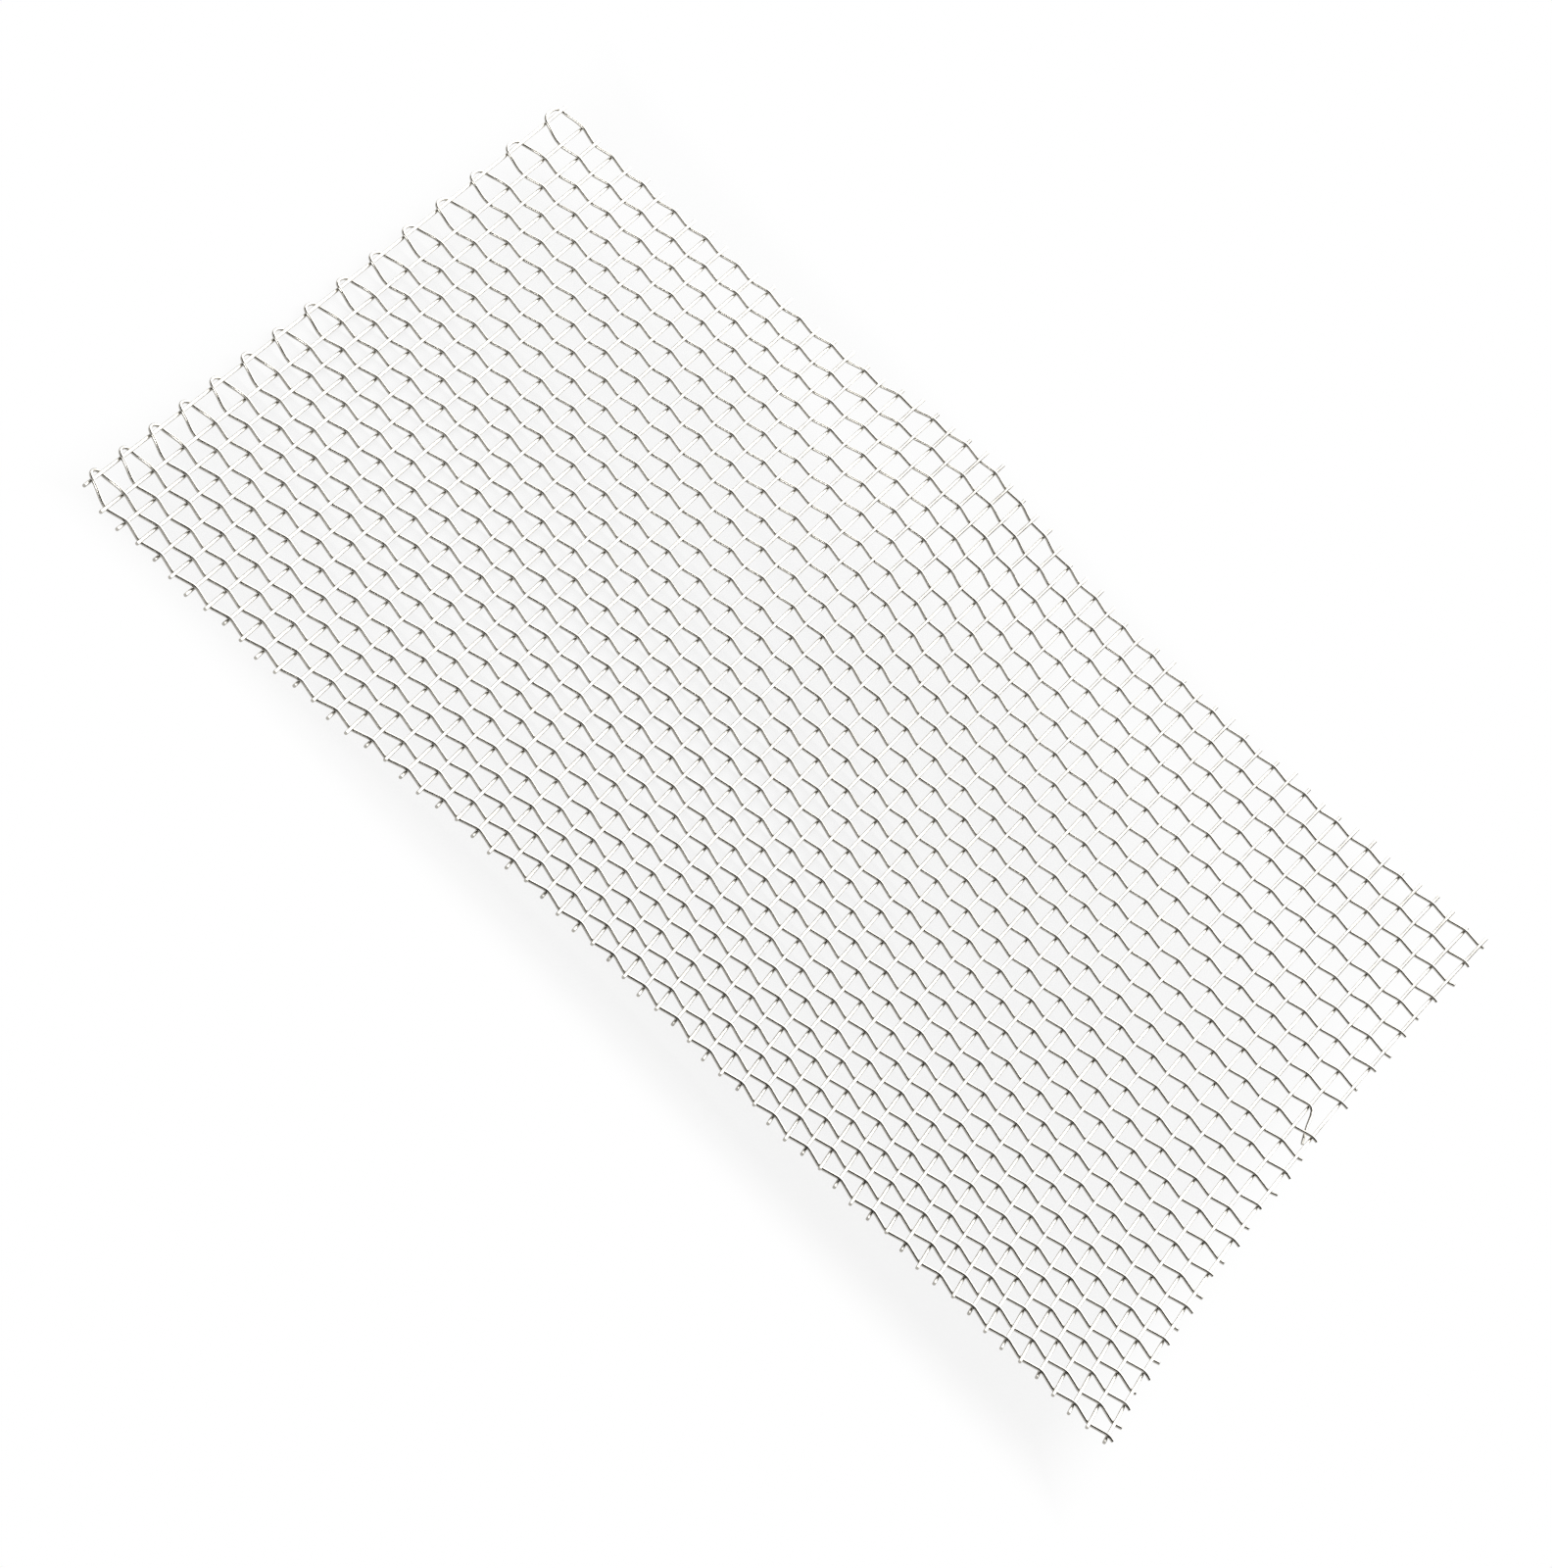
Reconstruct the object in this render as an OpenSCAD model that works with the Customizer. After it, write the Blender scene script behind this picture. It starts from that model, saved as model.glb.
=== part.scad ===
// A rectangular piece of plain-woven wire gauze, curled a little, with looped wire ends on one short side.
// Units are millimetres. +X runs along the long wires, from the looped side to the cut side.
// +Y runs along the cross wires. +Z is up, and Z = 0 is the surface that the piece lies on.

/* [Wire] */
// Wire thickness, the same for the long and the cross wires.
wire_d = 0.7; // [0.6:0.05:0.75]

/* [Mesh] */
// Spacing of the cross wires, along the length.
pitch_x = 4.2333; // [3.9:0.1:4.6]
// Spacing of the long wires, across the width.
pitch_y = 6.35; // [6:0.1:6.8]
// Number of cross wires.
n_cross = 61; // [41:2:61]
// Number of looped pairs of long wires.
n_loops = 15; // [9:1:15]
// Gap left where two wires press on each other.
seat_gap = 0.02; // [0.01:0.005:0.03]
// Extra space between the first cross wire and the next.
first_gap = 1.3; // [0.9:0.1:1.5]

/* [Curl of the sheet] */
// How far the near long edge curls up.
near_lift = 9.5; // [8:0.5:12]
// How far the far long edge curls up.
far_lift = 14.5; // [10:0.5:16]
// How far the cut end curls up.
end_lift = 17; // [10:1:20]
// Rise of two opposite corners against the other two.
twist = 6.8; // [0:0.4:8]
// Height of the bulge in the far edge.
bulge_h = 6.5; // [0:0.5:7]
// Depth of the dip in the near edge.
dip_h = 8.3; // [0:0.5:9]
// Extra lift of the corner where the near edge meets the cut end.
corner_h = 3.7; // [0:0.5:5]
// Shift of the far edge along the length against the near one.
skew = 9.8; // [0:0.5:11]
// How much more the cut end is skewed than the middle, and the looped end less.
skew_turn = 1.2; // [0:0.4:2]
// Sideways bow of the long wires.
bow = 13; // [0:0.5:15]
// Share by which the long wires spread at the looped end and close up at the cut end.
taper = 0.011; // [0:0.005:0.02]

/* [Edges] */
// Length of cross wire that stands out past the outer long wires.
cross_tail = 2.6; // [1.8:0.2:3.2]
// Length of long wire that stands out past the last cross wire.
cut_tail = 1.6; // [1.2:0.2:2]
// How far the loops reach past the first cross wire.
loop_reach = 1.3; // [1.2:0.1:1.5]
// How far the loops lean sideways, at the near edge. Towards the far edge they lean less.
loop_lean = 2.2; // [0:0.2:2.4]
// How much wider the last loop and the wires next to it stand.
corner_spread = 4; // [0:0.5:5]
// Which long wire has its cut end bent sideways.
bent_wire = 19; // [3:2:29]

/* [Hidden] */
$fn = 32;
eps = 0.001;
n_long = 2 * n_loops;
half_x = (n_cross - 1) * pitch_x / 2;
half_y = (n_long - 1) * pitch_y / 2;
wire_r = wire_d / 2;
// The cross wires lie smooth, and the long wires wave over and under them.
// Every bend is a ball a little thicker than the wire, so that it hides the corner inside it.
wave_bend = 2 * atan(2.2 * wire_d / pitch_x) + 5;
ball_r = 1.03 * wire_r / cos(wave_bend / 2);
trim = 1.03 * wire_r * tan(wave_bend / 2);
// Distance between the centre lines of two crossing wires.
wave = ball_r + wire_r + seat_gap;
cross_pairs = floor((n_cross + 1) / 2);
zinc = [0.62, 0.63, 0.64];

// The curled sheet. U runs from -1 to 1 along it. Each cross wire is an arc with its own curl at each edge.
function hump(u, at, wide) = exp(-pow((u - at) / wide, 2));
function near_at(u) =
  max(1, near_lift - twist * u - dip_h * hump(u, -0.74, 0.55) + corner_h * hump(u, 1, 0.63));
function far_at(u) = max(1, far_lift + twist * u + bulge_h * hump(u, -0.13, 0.2));
function end_at(u) = u < 0 ? 0 : end_lift * u * u;
// Where the arc is lowest, from -1 at the near edge to 1 at the far one, and its radius.
function low_at(u) = let (k = sqrt(far_at(u) / near_at(u))) (1 - k) / (1 + k);
function radius_at(u) = half_y * half_y * pow(1 + low_at(u), 2) / (2 * near_at(u));
// A sheet that curls up also gets shorter seen from above.
function shrink(u) = u < 0 ? 0 : half_x * pow(2 * end_lift / half_x, 2) * pow(u, 3) / 6;
// The way that the arc runs seen from above, its lowest point, and the angle on it of a place y.
function way_at(u) = unit([skew + skew_turn * u, half_y, 0]);
function low_point(u) = [
  u * half_x - shrink(u) + (skew + skew_turn * u) * low_at(u),
  half_y * low_at(u) + bow * (1 - u * u),
  end_at(u)
];
function angle_at(u, y) = (y * (1 - taper * u) - low_at(u) * half_y) / radius_at(u) * 180 / PI;
function sheet(x, y) =
  let (u = x / half_x, r = radius_at(u), a = angle_at(u, y))
  low_point(u) + r * sin(a) * way_at(u) + [0, 0, r * (1 - cos(a))];
function unit(a) = a / norm(a);
function along_x(x, y) = sheet(x + 0.5, y) - sheet(x - 0.5, y);
function along_y(x, y) = sheet(x, y + 0.5) - sheet(x, y - 0.5);
function lifted(x, y, h) = sheet(x, y) + h * unit(cross(along_x(x, y), along_y(x, y)));

// Places of the wires in the flat sheet. Side is 1 where the long wire is on top.
function cross_x(i) = (i - (n_cross - 1) / 2) * pitch_x - (i == 0 ? first_gap : 0);
function leaning(x, j) =
  loop_lean * (1 - j / (n_long - 1)) * max(0, (cross_x(1) - x) / (pitch_x + first_gap + loop_reach));
function spread(x, j) = corner_spread * exp(-(x - cross_x(0)) / (2.5 * pitch_x) - (n_long - 1 - j) / 2.5);
function long_y(x, j) = (j - (n_long - 1) / 2) * pitch_y + leaning(x, j) + spread(x, j);
function side(i, j) = (i + j) % 2 == 0 ? 1 : -1;
function long_at(i, j) = lifted(cross_x(i), long_y(cross_x(i), j), side(i, j) * wave);

// Half of a loop, from its middle back past the first cross wire.
// Each row is the reach outward, the distance from the loop's middle line in spacings, and the height.
loop_half = [
  [1, 0, 0],
  [0.96, 0.12, 0.3],
  [0.8, 0.25, 0.6],
  [0.46, 0.35, 0.84],
  [0, 0.42, 1],
  [-1.9, 0.48, 0.25]
];
function loop_leg(j) = let (way = j % 2 == 0 ? 1 : -1, middle = 2 * floor(j / 2) + 0.5) [
  for (s = loop_half)
    let (x = cross_x(0) - s[0] * loop_reach)
    lifted(x, long_y(x, middle - way * s[1]), way * s[2] * wave)
];
// The cut ends differ a little in length and direction, and one is bent sideways under its neighbour.
bent_steps = [
  [0.12, -0.03, 0.85],
  [0.24, -0.1, 0.62],
  [0.36, -0.28, 0.1],
  [0.5, -0.62, -0.75],
  [0.68, -1, -1.3],
  [0.84, -1.3, -1.5]
];
function bent_end(j) = let (x = cross_x(n_cross - 2)) [
  for (s = bent_steps)
    lifted(x + s[0] * pitch_x, long_y(x, j) + s[1] * pitch_y, s[2] * wave)
];
function cut_x(j) = cross_x(n_cross - 1) + (1 + 0.25 * sin(97 * j)) * cut_tail;
function straight_end(j) = [
  long_at(n_cross - 1, j),
  lifted(cut_x(j), long_y(cut_x(j), j) + 0.3 * sin(151 * j), side(n_cross - 1, j) * 0.45 * wave)
];
function leg(j) = concat(
  loop_leg(j),
  [for (i = [1 : n_cross - 2]) long_at(i, j)],
  j == bent_wire ? bent_end(j) : straight_end(j)
);

// The turn that points +Z along d, and the same as a step from one piece of wire to the next.
function turned(d) =
  let (l = norm([d[0], d[1]]), n = norm(d), c = d[2] / n, s = l / n)
  let (ca = l < eps ? 1 : d[0] / l, sa = l < eps ? 0 : d[1] / l)
  [[c * ca, -sa, s * ca], [c * sa, ca, s * sa], [-s, 0, c]];
function flipped(m) = [for (c = [0 : 2]) [for (r = [0 : 2]) m[r][c]]];
function placed(m, p) = [for (r = [0 : 2]) [m[r][0], m[r][1], m[r][2], p[r]]];
function step_on(pts, k) =
  let (before = pts[k] - pts[k - 1], after = pts[k + 1] - pts[k])
  placed(flipped(turned(before)) * turned(after), [0, 0, norm(before)]);

// Stands the children at point k of a path. Each step starts where the last one ends, so they meet exactly.
module walk_to(pts, k) {
  if (k == 0) multmatrix(placed(turned(pts[1] - pts[0]), pts[0])) children();
  else walk_to(pts, k - 1) multmatrix(step_on(pts, k)) children();
}

// A long wire along a path: straight rods, with a ball at each bend. The rods stop short inside the ball.
module wire(pts, first) {
  last = len(pts) - 2;
  for (k = [0 : last]) walk_to(pts, k) {
    if (k >= first) rotate([0, 0, 90]) sphere(r = ball_r);
    translate([0, 0, trim])
      cylinder(r = wire_r, h = norm(pts[k + 1] - pts[k]) - (k == last ? 1 : 2) * trim);
  }
}

// One looped pair of long wires: a single wire, bent in the middle around the first cross wire.
module looped_pair(k) {
  wire(leg(2 * k), 0);
  wire(leg(2 * k + 1), 1);
}

// A cross wire is one arc. Its two tails differ a little in length from wire to wire.
function tail(i, way) =
  (1 + 0.3 * sin(83 * i + 40 * way)) * cross_tail + (way > 0 ? spread(cross_x(i), n_long - 1) : 0);
function cross_end(i, way) = angle_at(cross_x(i) / half_x, way * (half_y + tail(i, way)));
function cross_tip(i, way) = sheet(cross_x(i), way * (half_y + tail(i, way)));
module cross_wire(i) {
  u = cross_x(i) / half_x;
  w = way_at(u);
  r = radius_at(u);
  stood = [[0, w[0], -w[1]], [0, w[1], w[0]], [-1, 0, 0]];
  multmatrix(placed(stood, low_point(u) + [0, 0, r]))
    rotate([0, 0, cross_end(i, -1)])
      rotate_extrude(angle = cross_end(i, 1) - cross_end(i, -1)) translate([r, 0]) circle(r = wire_r);
}

// Two neighbouring cross wires. The last one has no neighbour.
module cross_pair(k) {
  for (i = [2 * k : min(2 * k + 1, n_cross - 1)]) cross_wire(i);
}

// The piece is moved so that it lies on Z = 0, with the middle of its outline at X = 0 and Y = 0.
loop_x = [for (j = [0 : n_long - 1]) loop_leg(j)[0][0] - wire_r];
end_x = [for (j = [0 : n_long - 1]) straight_end(j)[1][0]];
near_y = [for (i = [0 : n_cross - 1]) cross_tip(i, -1)[1]];
far_y = [for (i = [0 : n_cross - 1]) cross_tip(i, 1)[1]];
low_z = [
  for (i = [0 : n_cross - 1])
    for (j = [0 : n_long - 1])
      if (side(i, j) < 0) sheet(cross_x(i), long_y(cross_x(i), j))[2]
];
home = [-(min(loop_x) + max(end_x)) / 2, -(min(near_y) + max(far_y)) / 2, ball_r + wave - min(low_z)];

for (k = [1 : n_loops])
  color(zinc) translate(home) looped_pair(k - 1);
for (k = [1 : cross_pairs])
  color(zinc) translate(home) cross_pair(k - 1);
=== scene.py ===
# %% [markdown]
# # A piece of wire gauze
# The real thing is a curled rectangle of woven galvanised wire, about the size of a sheet of writing paper.
# A mesh pattern on a bent sheet would do for a picture from far away. Here every wire is real: each long
# wire goes over and under the cross wires and turns back in a loop at one end, because the weave is what
# the eye looks for. This notebook makes the wires, gives them a zinc surface and lights them as in a plain
# white studio. `frame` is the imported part, whose wires the new ones stand in for. Blender works in metres,
# and the sizes here are in millimetres, so `MM` turns one into the other.

# %% Start: the frame and the tools
import math

import bpy
import numpy as np
from mathutils import Matrix, Vector


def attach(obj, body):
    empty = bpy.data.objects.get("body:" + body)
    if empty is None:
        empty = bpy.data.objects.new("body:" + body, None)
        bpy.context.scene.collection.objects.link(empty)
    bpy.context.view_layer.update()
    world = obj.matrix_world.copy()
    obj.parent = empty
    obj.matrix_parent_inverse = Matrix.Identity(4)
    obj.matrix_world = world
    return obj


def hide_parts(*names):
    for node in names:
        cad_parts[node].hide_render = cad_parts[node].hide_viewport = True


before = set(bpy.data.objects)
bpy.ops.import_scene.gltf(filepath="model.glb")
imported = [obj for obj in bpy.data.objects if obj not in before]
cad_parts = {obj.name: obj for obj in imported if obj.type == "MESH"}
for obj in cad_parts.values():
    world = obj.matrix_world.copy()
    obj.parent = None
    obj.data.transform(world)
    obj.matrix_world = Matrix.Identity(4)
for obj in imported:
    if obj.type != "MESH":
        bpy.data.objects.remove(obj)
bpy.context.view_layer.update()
MM = 0.001
print("nodes in the frame:", len(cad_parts))

# %% [markdown]
# ## The sizes of the weave
# Gauze is sold by its wire and by the number of wires to the inch. This one has six cross wires and four
# long wires to the inch, and 61 by 30 of them. These sizes are the same as those of the frame's wires, so
# that the new wires lie where the old ones do.

# %% The sizes of the weave
WIRE = 0.70            # wire thickness
PITCH_X = 4.2333       # from one cross wire to the next
PITCH_Y = 6.35         # from one long wire to the next
N_CROSS = 61
N_LONG = 30
HALF_X = (N_CROSS - 1) * PITCH_X / 2
HALF_Y = (N_LONG - 1) * PITCH_Y / 2
print("flat sheet:", round(2 * HALF_X, 1), "x", round(2 * HALF_Y, 1), "mm between the outer wires")

# %% [markdown]
# ## How it is curled
# Gauze that was cut from a roll stays curled, and handling adds dents of its own. A cloth simulation or a
# sculpted sheet could give that shape, but a rule is exact and quick to change. These are the rule's sizes:
# how high the two long edges stand, how far the cut end turns up, and one dip, one knee and one raised
# corner. Places along the length are given by `u`, which is -1 at the loops and 1 at the cut end.

# %% How it is curled
NEAR_LIFT = 9.5        # height of the near long edge, halfway along it
FAR_LIFT = 14.5        # height of the far long edge, halfway along it
LEAST_LIFT = 1.0       # no edge lies lower than this
TWIST = 6.8            # how much the far edge rises and the near edge falls towards the cut end
END_LIFT = 17.0        # how far the cut end turns up
DIP, DIP_AT, DIP_WIDE = 8.3, -0.74, 0.55        # where the near edge lies low: how much, where, how wide
CORNER, CORNER_WIDE = 3.7, 0.63                 # the raised corner at the near edge's cut end
BULGE, BULGE_AT, BULGE_WIDE = 6.5, -0.13, 0.2   # the knee in the far edge
SKEW = 9.8             # how far the cross wires slant along the piece
SKEW_TURN = 1.2        # how much more they slant at the cut end
BOW = 13.0             # how far the middle of the length is pushed to the far side
TAPER = 0.011          # how much narrower the cut end is, as a share
HOME = np.array([0.34, -5.64, 1.15])   # moves the piece so that it lies on the table, in its middle


def hump(u, at, wide):
    return np.exp(-(((u - at) / wide) ** 2))


def edge_heights(u):
    near = NEAR_LIFT - TWIST * u - DIP * hump(u, DIP_AT, DIP_WIDE) + CORNER * hump(u, 1, CORNER_WIDE)
    far = FAR_LIFT + TWIST * u + BULGE * hump(u, BULGE_AT, BULGE_WIDE)
    return np.maximum(LEAST_LIFT, near), np.maximum(LEAST_LIFT, far)


print("edge heights by the loops:", [round(float(height), 1) for height in edge_heights(-1)],
      "and at the cut end:", [round(float(height), 1) for height in edge_heights(1)])

# %% [markdown]
# ## The curled sheet
# `sheet(x, y)` says where a point of the flat sheet ends up. Across the width the sheet is an arc that rises
# to its two edges. Its lowest part lies on the table, except where the cut end turns up. Lengths are
# measured along the arc, so the sheet keeps its width, which it wouldn't as a simple parabola. `lifted`
# goes a little way off the sheet, along its normal, as the weave needs.

# %% The curled sheet
def sheet(x, y):
    x, y = np.broadcast_arrays(np.asarray(x, float), np.asarray(y, float))
    u = x / HALF_X
    near, far = edge_heights(u)
    ratio = np.sqrt(far / near)
    low = (1 - ratio) / (1 + ratio)     # where the arc touches down, as a share of the half width
    radius = HALF_Y ** 2 * (1 + low) ** 2 / (2 * near)
    angle = (y * (1 - TAPER * u) - low * HALF_Y) / radius
    up = np.maximum(u, 0)
    shrink = HALF_X * (2 * END_LIFT / HALF_X) ** 2 * up ** 3 / 6   # what turning up takes off the length
    skew = SKEW + SKEW_TURN * u
    slant = np.hypot(skew, HALF_Y)
    return np.stack([
        x - shrink + skew * low + radius * np.sin(angle) * skew / slant,
        HALF_Y * low + BOW * (1 - u * u) + radius * np.sin(angle) * HALF_Y / slant,
        END_LIFT * up * up + radius * (1 - np.cos(angle)),
    ], -1) + HOME


def lifted(x, y, height):
    half_step = 0.5     # the slope is felt over a millimetre
    along = sheet(x + half_step, y) - sheet(x - half_step, y)
    across = sheet(x, y + half_step) - sheet(x, y - half_step)
    normal = np.cross(along, across)
    size = np.linalg.norm(normal, axis=-1, keepdims=True)
    return sheet(x, y) + np.asarray(height)[..., None] * normal / size


corners = [sheet(a * HALF_X, b * HALF_Y) for a in (-1, 1) for b in (-1, 1)]
print("corner heights:", [round(float(corner[2]), 1) for corner in corners])

# %% [markdown]
# ## Where the wires cross
# On the real gauze the loops stand off from the first cross wire, lean sideways at the near edge and spread
# at the far corner, where the wires were pulled. So the place of a wire isn't only its number times a
# spacing: the two functions here add those small departures, and every wire asks them.

# %% Where the wires cross
FIRST_GAP = 1.3        # extra space between the first cross wire and the next
LOOP_REACH = 1.3       # how far the loops reach past the first cross wire
LEAN = 2.2             # how far the loops lean sideways at the near edge
SPREAD = 4.0           # how much wider the last loop stands
SPREAD_WIRES = 2.5     # over how many wires the spread fades, either way
FIRST_X = -HALF_X - FIRST_GAP


def cross_x(i):
    return (i - (N_CROSS - 1) / 2) * PITCH_X


def long_y(x, j):
    past = np.clip((cross_x(1) - x) / (PITCH_X + FIRST_GAP + LOOP_REACH), 0, 1)
    lean = LEAN * (1 - j / (N_LONG - 1)) * past
    fade = -(x - FIRST_X) / (SPREAD_WIRES * PITCH_X) - (N_LONG - 1 - j) / SPREAD_WIRES
    return (j - (N_LONG - 1) / 2) * PITCH_Y + lean + SPREAD * np.exp(fade)


print("first and last cross wire at", round(FIRST_X, 1), "and", round(cross_x(N_CROSS - 1), 1), "mm")

# %% [markdown]
# ## The way of a long wire
# A long wire's height swings like a wave with its crests at the cross wires. It could be a plain cosine,
# but wire that was pressed into shape is straighter between its crests, so a little of a wave three times
# as fast is added. The ends were snipped by hand, so they are uneven, and one of them is bent under its
# neighbour.

# %% The way of a long wire
LONG_WAVE = 0.54       # how far the long wires swing up and down
PRESSED = 0.07         # the share of the faster wave
STEPS = 10             # points from one cross wire to the next
CUT_TAIL = 1.6         # how far a long wire reaches past the last cross wire
CUT_UNEVEN = 0.25      # by what share that may differ
CUT_ASIDE = 0.3        # how far its tip may point aside
CUT_TURN, ASIDE_TURN = 97, 151   # degrees that these two turn from one wire to the next
BENT_WIRE = 19         # the one with the bent end
# The bent end's points: along and aside in spacings, high in heights of the wave.
BENT_END = np.array([[0.12, -0.03, 0.95], [0.24, -0.10, 0.7], [0.36, -0.28, 0.1],
                     [0.5, -0.62, -0.9], [0.68, -1.0, -1.6], [0.84, -1.3, -1.9]])


def wave(t):
    return (1 - PRESSED) * np.cos(np.pi * t) + PRESSED * np.cos(3 * np.pi * t)


def uneven(degrees):
    """A fixed number from -1 to 1 that jumps about when the angle goes up in large steps."""
    return math.sin(math.radians(degrees))


def leg_path(j):
    """The centre line of long wire j, from the second cross wire to its cut end."""
    if j == BENT_WIRE:
        t = np.arange(1, N_CROSS - 2 + 1e-6, 1 / STEPS)
        x = cross_x(t)
        y = long_y(x, j)
        return lifted(np.append(x, x[-1] + BENT_END[:, 0] * PITCH_X),
                      np.append(y, y[-1] + BENT_END[:, 1] * PITCH_Y),
                      LONG_WAVE * np.append(wave(t + j), BENT_END[:, 2]))
    tail = CUT_TAIL * (1 + CUT_UNEVEN * uneven(CUT_TURN * j)) / PITCH_X
    t = np.arange(1, N_CROSS - 1 + tail, 1 / STEPS)
    past = np.maximum(t - (N_CROSS - 1), 0) / tail
    x = cross_x(t)
    return lifted(x, long_y(x, j) + past * CUT_ASIDE * uneven(ASIDE_TURN * j), LONG_WAVE * wave(t + j))


print("a leg has", len(leg_path(0)), "points, the bent one", len(leg_path(BENT_WIRE)))

# %% [markdown]
# ## The loops
# Two neighbouring long wires are one wire, which turns round the first cross wire in a squarish loop. A
# half circle would be too round, so the half loop is a few listed points, and cutting their corners
# twice rounds them. The other half is the same points mirrored, and it passes under where the first passes
# over.

# %% The loops
# Half a loop's points: out in reaches, aside in spacings, high in heights of the wave.
HALF_LOOP = [(1, 0, 0), (0.96, 0.12, 0.3), (0.8, 0.25, 0.6), (0.46, 0.35, 0.84), (0, 0.42, 1),
             (-1.25, 0.47, 0.62), (-2.2, 0.495, 0), (-3.1, 0.5, -0.6)]


def smooth(points, times=2):
    """Rounds off the corners of a path by cutting them, and keeps its two ends."""
    for _ in range(times):
        a, b = points[:-1], points[1:]
        cut = np.stack([0.75 * a + 0.25 * b, 0.25 * a + 0.75 * b], 1).reshape(-1, 3)
        points = np.concatenate([points[:1], cut, points[-1:]])
    return points


def looped_path(k):
    turn = []
    for way, rows in ((-1, HALF_LOOP[:0:-1]), (1, HALF_LOOP)):
        for out, aside, high in rows:
            x = FIRST_X - LOOP_REACH * out
            turn.append((x, long_y(x, 2 * k + 0.5 + way * aside), -way * high * LONG_WAVE))
    turn = np.array(turn)
    loop = smooth(lifted(turn[:, 0], turn[:, 1], turn[:, 2]))
    return np.concatenate([leg_path(2 * k)[::-1], loop, leg_path(2 * k + 1)])


long_paths = [looped_path(k) for k in range(N_LONG // 2)]
print("long wires:", len(long_paths), "with", sum(map(len, long_paths)), "points")

# %% [markdown]
# ## The cross wires
# A cross wire is stiffer than it looks: it takes only a quarter of the weave's height, and the long wires
# bend round it. It is a shallow wave across the sheet that ends in a straight, unevenly snipped tail. At
# the raised corner by the loops the far tails are shorter.

# %% The cross wires
CROSS_WAVE = 0.17      # how far the cross wires swing up and down
CROSS_TAIL = 2.6       # how far a cross wire reaches past the outer long wires
TAIL_UNEVEN = 0.3      # by what share that may differ
TAIL_TURN, SIDE_TURN = 83, 40    # degrees from one wire to the next, and from its middle to each side
STRAIGHT_FROM = 0.4    # the tail is straight from this share of a spacing past the outer wire
CROSS_STEPS = 8        # points from one long wire to the next
SHORT_TAILS = 6        # how many cross wires by the loops have a shorter far tail
SHORTEST = 0.25        # the first one's tail, as a share of a full one


def cross_path(i):
    x = cross_x(i) if i else FIRST_X
    near_tail, far_tail = (CROSS_TAIL * (1 + TAIL_UNEVEN * uneven(TAIL_TURN * i + way * SIDE_TURN)) / PITCH_Y
                           for way in (-1, 1))
    far_tail *= SHORTEST + (1 - SHORTEST) * min(i / SHORT_TAILS, 1)
    t = np.arange(-near_tail, N_LONG - 1 + far_tail, 1 / CROSS_STEPS)
    inside = np.clip(t, -STRAIGHT_FROM, N_LONG - 1 + STRAIGHT_FROM)
    return lifted(x, long_y(x, t), -CROSS_WAVE * np.cos(np.pi * (inside + i)))


cross_paths = [cross_path(i) for i in range(N_CROSS)]
print("cross wires:", len(cross_paths), "with", sum(map(len, cross_paths)), "points")

# %% [markdown]
# ## Two helpers for nodes
# Materials and Geometry Nodes are both trees of nodes. Written out, each node takes a line for every
# setting and link. `node` adds one with all of them, and `hex_colour` turns a colour from a paint chart
# into the linear values that Blender works with.

# %% Two helpers for nodes
def node(tree, kind, links=None, **settings):
    made = tree.nodes.new(kind)
    for key, value in settings.items():
        setattr(made, key, value)
    for key, value in (links or {}).items():
        if isinstance(value, bpy.types.NodeSocket):
            tree.links.new(value, made.inputs[key])
        else:
            made.inputs[key].default_value = value
    return made


def hex_colour(text):
    """An sRGB colour such as C8CACC as linear values with alpha."""
    parts = [int(text[i:i + 2], 16) / 255 for i in (0, 2, 4)]
    return [c / 12.92 if c <= 0.04045 else ((c + 0.055) / 1.055) ** 2.4 for c in parts] + [1]


print("middle grey in linear values:", [round(c, 3) for c in hex_colour("808080")[:3]])

# %% [markdown]
# ## The zinc surface
# Galvanised wire is steel that was drawn thin and dipped in molten zinc. Zinc is a soft grey metal that
# looks a little warm here, and as it sets it becomes duller and darker in some places than in others. A
# plain metal would look like chrome, so noise changes its roughness and its shade, and a fine bump breaks
# up the reflections.

# %% The zinc surface
BLOTCH = 2.38 * MM     # the size of a duller place in the zinc
GRAIN = 0.385 * MM     # the real grain is too fine to show, so it is drawn about half a wire wide
DARK_ZINC = "A6A39C"
PALE_ZINC = "BEBBB4"
BUMP_HEIGHT = 0.03 * MM
zinc = bpy.data.materials.new("galvanised_wire")   # dipped zinc: soft highlights with slightly uneven edges
zinc.use_nodes = True
tree = zinc.node_tree
tree.nodes.clear()
place = node(tree, "ShaderNodeTexCoord")
at = place.outputs["Object"]
blotch = node(tree, "ShaderNodeTexNoise", {"Vector": at, "Scale": 1 / BLOTCH, "Detail": 3.0})
grain = node(tree, "ShaderNodeTexNoise", {"Vector": at, "Scale": 1 / GRAIN, "Detail": 2.0})
rough = node(tree, "ShaderNodeMapRange", {"Value": blotch.outputs["Fac"], "To Min": 0.22, "To Max": 0.30})
shade = node(tree, "ShaderNodeMix", {0: blotch.outputs["Fac"], 6: hex_colour(DARK_ZINC),
                                     7: hex_colour(PALE_ZINC)}, data_type="RGBA")
bump = node(tree, "ShaderNodeBump", {"Height": grain.outputs["Fac"], "Strength": 0.06,
                                     "Distance": BUMP_HEIGHT})
metal = node(tree, "ShaderNodeBsdfPrincipled", {
    "Base Color": shade.outputs[2], "Metallic": 1.0, "Roughness": rough.outputs["Result"],
    "Normal": bump.outputs["Normal"]})
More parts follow.
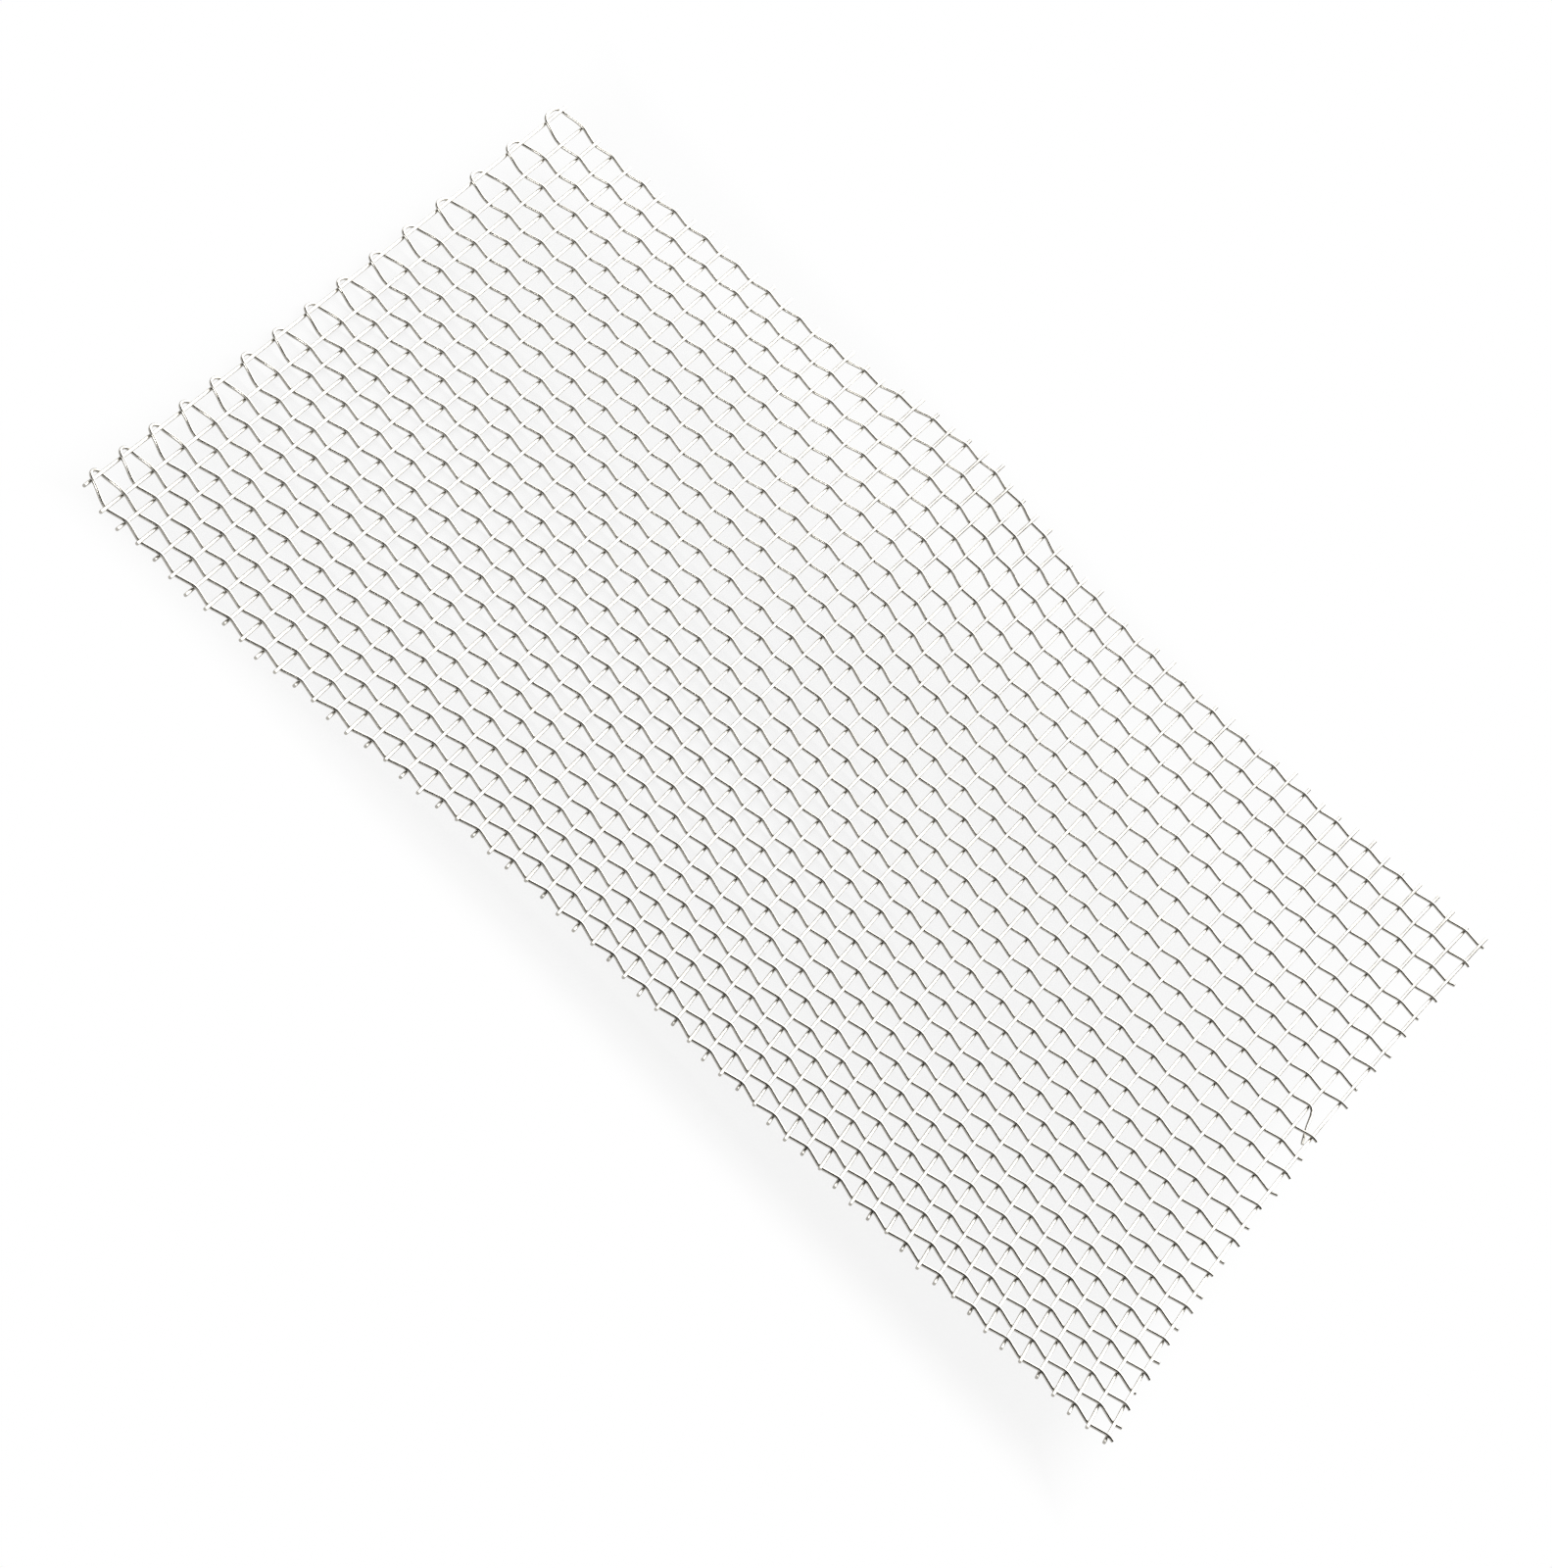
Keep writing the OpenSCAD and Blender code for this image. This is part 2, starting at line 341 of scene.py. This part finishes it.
node(tree, "ShaderNodeOutputMaterial", {"Surface": metal.outputs["BSDF"]})
print("nodes in the zinc:", len(tree.nodes))

# %% [markdown]
# ## From a path to a wire
# A path is a chain of edges. A curve object with a bevel would also make a wire of it, but Geometry Nodes
# keep the thickness and the number of sides as inputs, for all the wires at once. The tree turns the chain
# into a curve, puts a ring of the wire's thickness along it, closes its ends and sets the material.

# %% From a path to a wire
SIDES = 10             # enough for a wire that is a few pixels wide
wires = bpy.data.node_groups.new("wire_from_path", "GeometryNodeTree")
wires.interface.new_socket("Path", in_out="INPUT", socket_type="NodeSocketGeometry")
thick = wires.interface.new_socket("Thickness", in_out="INPUT", socket_type="NodeSocketFloat")
sides = wires.interface.new_socket("Sides", in_out="INPUT", socket_type="NodeSocketInt")
wires.interface.new_socket("Wires", in_out="OUTPUT", socket_type="NodeSocketGeometry")
enter = node(wires, "NodeGroupInput")
curve = node(wires, "GeometryNodeMeshToCurve", {"Mesh": enter.outputs["Path"]})
half = node(wires, "ShaderNodeMath", {0: enter.outputs["Thickness"], 1: 0.5}, operation="MULTIPLY")
ring = node(wires, "GeometryNodeCurvePrimitiveCircle",
            {"Resolution": enter.outputs["Sides"], "Radius": half.outputs[0]})
tube = node(wires, "GeometryNodeCurveToMesh",
            {"Curve": curve.outputs["Curve"], "Profile Curve": ring.outputs["Curve"], "Fill Caps": True})
soft = node(wires, "GeometryNodeSetShadeSmooth", {"Geometry": tube.outputs["Mesh"]})
real = node(wires, "GeometryNodeRealizeInstances", {"Geometry": soft.outputs["Geometry"]})
skin = node(wires, "GeometryNodeSetMaterial", {"Geometry": real.outputs["Geometry"], "Material": zinc})
node(wires, "NodeGroupOutput", {"Wires": skin.outputs["Geometry"]})
print("steps from path to wire:", len(wires.nodes))

# %% [markdown]
# ## All the wires
# The frame has a node for each looped pair of long wires and one for every two cross wires. Each gets one
# piece that takes its place. The nodes' result is copied to a plain mesh, because that is what other
# programs can read.

# %% All the wires
def make_wires(name, paths):
    """One piece with a wire along each path, in place of the frame's node of that name."""
    points = np.concatenate(paths) * MM
    edges, start = [], 0
    for path in paths:
        edges += [(start + k, start + k + 1) for k in range(len(path) - 1)]
        start += len(path)
    mesh = bpy.data.meshes.new(name)
    mesh.from_pydata(points.tolist(), edges, [])
    chain = bpy.data.objects.new(name + "_path", mesh)
    bpy.context.scene.collection.objects.link(chain)
    maker = chain.modifiers.new("wire", "NODES")
    maker.node_group = wires
    maker[thick.identifier], maker[sides.identifier] = WIRE * MM, SIDES
    bpy.context.view_layer.update()
    made = bpy.data.meshes.new_from_object(chain.evaluated_get(bpy.context.evaluated_depsgraph_get()))
    bpy.data.objects.remove(chain)
    piece = bpy.data.objects.new(name + "_wire", made)
    bpy.context.scene.collection.objects.link(piece)
    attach(piece, "root")
    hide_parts(name)
    return piece


pieces = [make_wires(f"looped_pair_{k + 1}", [path]) for k, path in enumerate(long_paths)]
cross_pairs = [cross_paths[i:i + 2] for i in range(0, N_CROSS, 2)]
pieces += [make_wires(f"cross_pair_{k + 1}", pair) for k, pair in enumerate(cross_pairs)]
print("wire pieces:", len(pieces), "faces:", sum(len(piece.data.polygons) for piece in pieces))

# %% [markdown]
# ## The table
# The gauze lies on a matt white board. In a studio picture such a board turns pure white around the object,
# and stays a very light grey under it, in the gauze's shade. More light could do that, but it would bleach
# the wires too. So the board itself glows, as painted light, except for a part of it under the gauze: the
# light grey there is painted shade, together with the real shadows on the plain board. This cell makes the
# board and works out how much glows at each point of it. It measures how far the point is from the middle of
# the painted shade, along and across, each as a share of that place's half size. The larger of the two is 1
# on the border.

# %% The table
TABLE_SIZE = 12                  # in metres, wide enough to fill the picture from every side
# The light grey place is painted shade under the gauze: there the board glows less.
PAINTED_SHADE_MIDDLE = (0.002, 0.02, 0)   # the middle of the light grey place, in metres
PAINTED_SHADE_X, PAINTED_SHADE_Y = 0.14, 0.118     # its half length and half width, in metres
PAINTED_SHADE_SLANT = 0.1                 # it leans with the gauze's ends
FADE_FROM, FADE_TO = 0.85, 0.99  # the grey fades out between these shares of that size
LEAST_GLOW = 0.8                 # how much of the board glows under the gauze
bpy.ops.mesh.primitive_plane_add(size=TABLE_SIZE, location=(0, 0, 0))
table = bpy.context.object
table.name = "table"
# The board glows white as painted light, and less under the gauze as painted shade.
white = bpy.data.materials.new("white_table")      # matt lacquered board: even, with no highlights
white.use_nodes = True
tree = white.node_tree
tree.nodes.clear()
place = node(tree, "ShaderNodeTexCoord")
away = node(tree, "ShaderNodeVectorMath", {0: place.outputs["Object"], 1: PAINTED_SHADE_MIDDLE}, operation="SUBTRACT")
reach = []
for way in ((1 / PAINTED_SHADE_X, -PAINTED_SHADE_SLANT / PAINTED_SHADE_X, 0), (0, 1 / PAINTED_SHADE_Y, 0)):
    share = node(tree, "ShaderNodeVectorMath", {0: away.outputs["Vector"], 1: way}, operation="DOT_PRODUCT")
    reach.append(node(tree, "ShaderNodeMath", {0: share.outputs["Value"]}, operation="ABSOLUTE"))
edge = node(tree, "ShaderNodeMath", {0: reach[0].outputs[0], 1: reach[1].outputs[0]}, operation="MAXIMUM")
# Painted shade: the glow falls to LEAST_GLOW inside the place under the gauze and is full beyond its border.
fade = node(tree, "ShaderNodeMapRange", {
    "Value": edge.outputs[0], "From Min": FADE_FROM, "From Max": FADE_TO, "To Min": LEAST_GLOW,
    "To Max": 1.0}, interpolation_type="SMOOTHSTEP")
print("light grey place:", round(2 * PAINTED_SHADE_X / MM), "x", round(2 * PAINTED_SHADE_Y / MM), "mm")

# %% [markdown]
# ## How the table glows
# The glow is only for the camera and for what the metal reflects. For all other light the board is plain,
# so the glow doesn't brighten the shadows on it. The part that doesn't glow under the gauze shows those
# shadows to the camera.

# %% How the table glows
ray = node(tree, "ShaderNodeLightPath")
seen = node(tree, "ShaderNodeMath", {0: ray.outputs["Is Camera Ray"], 1: ray.outputs["Is Glossy Ray"]},
            operation="MAXIMUM")
glow = node(tree, "ShaderNodeMath", {0: seen.outputs[0], 1: fade.outputs["Result"]}, operation="MULTIPLY")
board = node(tree, "ShaderNodeBsdfPrincipled", {
    "Base Color": hex_colour("C4C4C4"), "Roughness": 0.9, "Specular IOR Level": 0.0})
light = node(tree, "ShaderNodeEmission", {"Color": hex_colour("FFFFFF"), "Strength": 1.0})
both = node(tree, "ShaderNodeMixShader", {0: glow.outputs[0], 1: board.outputs["BSDF"],
                                          2: light.outputs["Emission"]})
node(tree, "ShaderNodeOutputMaterial", {"Surface": both.outputs["Shader"]})
table.data.materials.append(white)
print("nodes in the board:", len(tree.nodes))

# %% [markdown]
# ## The light
# Metal shows what is around it. A wide bright wall behind the gauze and a box above it fill the cross wires
# with white, which one small lamp couldn't do: it would leave a thin bright line on each wire. Two weak
# boxes on the camera's side lift the dark sides of the long wires a little. The left one is narrowed like a
# lamp with a grid, so that it misses the rest.

# %% The light
def softbox(name, place_at, look_at, width, height, power):
    light = bpy.data.lights.new(name, "AREA")
    light.shape, light.size, light.size_y, light.energy = "RECTANGLE", width, height, power
    lamp = bpy.data.objects.new(name, light)
    lamp.location = place_at
    lamp.rotation_euler = (Vector(look_at) - Vector(place_at)).to_track_quat("-Z", "Y").to_euler()
    bpy.context.scene.collection.objects.link(lamp)
    return lamp


lamps = [softbox("back_wall", (0.05, 1.3, 0.6), (0, 0, 0.4), 3.4, 1.2, 56),
         softbox("top_box", (0, 0.62, 1.2), (0, 0, 0), 2.4, 0.9, 23),
         softbox("side_box", (0.8, -0.8, 0.65), (0, 0, 0), 0.8, 0.6, 1.8),
         softbox("left_box", (-0.28, -0.33, 0.2), (-0.17, 0, 0.01), 0.24, 0.15, 0.09)]
left_box = lamps[-1]
left_box.visible_camera = False
left_box.data.spread = math.radians(40)
print("lamps:", {lamp.name: round(lamp.data.energy, 2) for lamp in lamps})

# %% [markdown]
# ## The room
# Behind the camera the room is dim, and that is what makes the sides of the long wires dark. The camera
# itself sees the room as plain white, so that a view from the side has a white background.

# %% The room
DIM = 0.05
world = bpy.data.worlds.new("room")
bpy.context.scene.world = world
world.use_nodes = True
tree = world.node_tree
tree.nodes.clear()
ray = node(tree, "ShaderNodeLightPath")
dim = node(tree, "ShaderNodeBackground", {"Color": hex_colour("FFFFFF"), "Strength": DIM})
plain = node(tree, "ShaderNodeBackground", {"Color": hex_colour("FFFFFF"), "Strength": 1.0})
room = node(tree, "ShaderNodeMixShader", {0: ray.outputs["Is Camera Ray"], 1: dim.outputs["Background"],
                                          2: plain.outputs["Background"]})
node(tree, "ShaderNodeOutputWorld", {"Surface": room.outputs["Shader"]})
print("nodes in the room:", len(tree.nodes))

# %% [markdown]
# ## The camera
# A long lens from about a metre away keeps the wires nearly parallel. It looks at the piece from the side
# of the near long edge, and the camera is rolled so that the loops are at the upper left. The Standard view
# transform shows white as white.

# %% The camera
EYE = Vector((-0.1674, -0.7612, 0.5995))   # where the camera stands and what it looks at, in metres
AIM = Vector((-0.0012, -0.0120, 0.0080))
ROLL = 53.8            # degrees
FOCAL = 116.4          # millimetres, on a sensor 36 mm wide
lens = bpy.data.cameras.new("camera")
lens.sensor_fit, lens.sensor_width, lens.lens = "HORIZONTAL", 36, FOCAL
lens.clip_start, lens.clip_end = 0.01, 20
camera = bpy.data.objects.new("camera", lens)
turn = (AIM - EYE).to_track_quat("-Z", "Y").to_matrix() @ Matrix.Rotation(math.radians(ROLL), 3, "Z")
camera.matrix_world = Matrix.Translation(EYE) @ turn.to_4x4()
bpy.context.scene.collection.objects.link(camera)
bpy.context.scene.camera = camera
bpy.context.scene.view_settings.view_transform = "Standard"
print("camera", round((AIM - EYE).length, 3), "m away")
